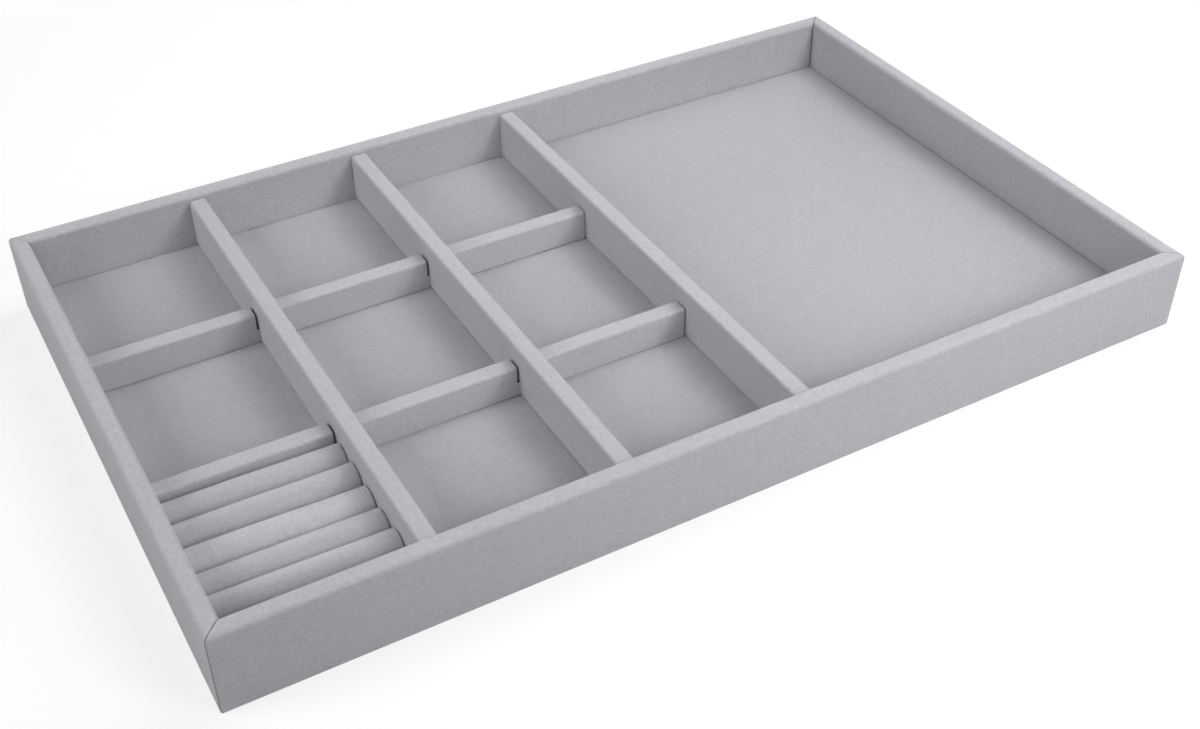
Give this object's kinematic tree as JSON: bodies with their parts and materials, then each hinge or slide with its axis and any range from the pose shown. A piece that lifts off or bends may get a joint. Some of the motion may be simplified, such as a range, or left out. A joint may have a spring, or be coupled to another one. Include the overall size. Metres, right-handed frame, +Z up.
{
  "type": "jewelry tray",
  "caption": "Shallow velvet-covered drawer tray with mitred walls, lift-out halved dividers, a block of ring rolls and one large open compartment.",
  "frame": {"origin": "centre of the underside, on the surface that the tray stands on", "axes": "+X along the tray's length, with the small compartments at -X; +Y from the front wall to the back wall; +Z up"},
  "size_m": [0.584, 0.36, 0.0505],
  "materials": {
    "velvet": "matte",
    "roll_velvet": "matte",
    "underside_felt": "matte",
    "fibreboard": "matte",
    "greyboard": "matte",
    "foam": "matte",
    "fastener_steel": "satin"
  },
  "bodies": {
    "tray": {"front_wall_core": "fibreboard", "front_wall_cover": "velvet", "right_wall_core": "fibreboard", "right_wall_cover": "velvet", "back_wall_core": "fibreboard", "back_wall_cover": "velvet", "left_wall_core": "fibreboard", "left_wall_cover": "velvet", "base_felt": "underside_felt", "base_board": "fibreboard", "floor_card": "greyboard", "floor_foam": "foam", "floor_lining": "velvet", "right_divider_core": "fibreboard", "right_divider_cover": "velvet", "frame_brads": "fastener_steel", "corner_v_nails": "fastener_steel"},
    "cross_strips": {"front_cross_strip_core": "fibreboard", "front_cross_strip_cover": "velvet", "back_cross_strip_core": "fibreboard", "back_cross_strip_cover": "velvet"},
    "left_divider": {"left_divider_core": "fibreboard", "left_divider_cover": "velvet"},
    "middle_divider": {"middle_divider_core": "fibreboard", "middle_divider_cover": "velvet"},
    "ring_roll_1": {"ring_roll_foam_1": "foam", "ring_roll_cover_1": "roll_velvet"},
    "ring_roll_2": {"ring_roll_foam_2": "foam", "ring_roll_cover_2": "roll_velvet"},
    "ring_roll_3": {"ring_roll_foam_3": "foam", "ring_roll_cover_3": "roll_velvet"},
    "ring_roll_4": {"ring_roll_foam_4": "foam", "ring_roll_cover_4": "roll_velvet"},
    "ring_roll_5": {"ring_roll_foam_5": "foam", "ring_roll_cover_5": "roll_velvet"},
    "ring_roll_6": {"ring_roll_foam_6": "foam", "ring_roll_cover_6": "roll_velvet"}
  },
  "joints": [
    {"name": "cross_strips_lift", "type": "slide", "parent": "tray", "child": "cross_strips", "axis": [0, 0, 1], "range_m": [0, 0.06]},
    {"name": "left_divider_lift", "type": "slide", "parent": "cross_strips", "child": "left_divider", "axis": [0, 0, 1], "range_m": [0, 0.06]},
    {"name": "middle_divider_lift", "type": "slide", "parent": "cross_strips", "child": "middle_divider", "axis": [0, 0, 1], "range_m": [0, 0.06]},
    {"name": "ring_roll_1_lift", "type": "slide", "parent": "tray", "child": "ring_roll_1", "axis": [0, 0, 1], "range_m": [0, 0.06]},
    {"name": "ring_roll_2_lift", "type": "slide", "parent": "tray", "child": "ring_roll_2", "axis": [0, 0, 1], "range_m": [0, 0.06]},
    {"name": "ring_roll_3_lift", "type": "slide", "parent": "tray", "child": "ring_roll_3", "axis": [0, 0, 1], "range_m": [0, 0.06]},
    {"name": "ring_roll_4_lift", "type": "slide", "parent": "tray", "child": "ring_roll_4", "axis": [0, 0, 1], "range_m": [0, 0.06]},
    {"name": "ring_roll_5_lift", "type": "slide", "parent": "tray", "child": "ring_roll_5", "axis": [0, 0, 1], "range_m": [0, 0.06]},
    {"name": "ring_roll_6_lift", "type": "slide", "parent": "tray", "child": "ring_roll_6", "axis": [0, 0, 1], "range_m": [0, 0.06]}
  ]
}
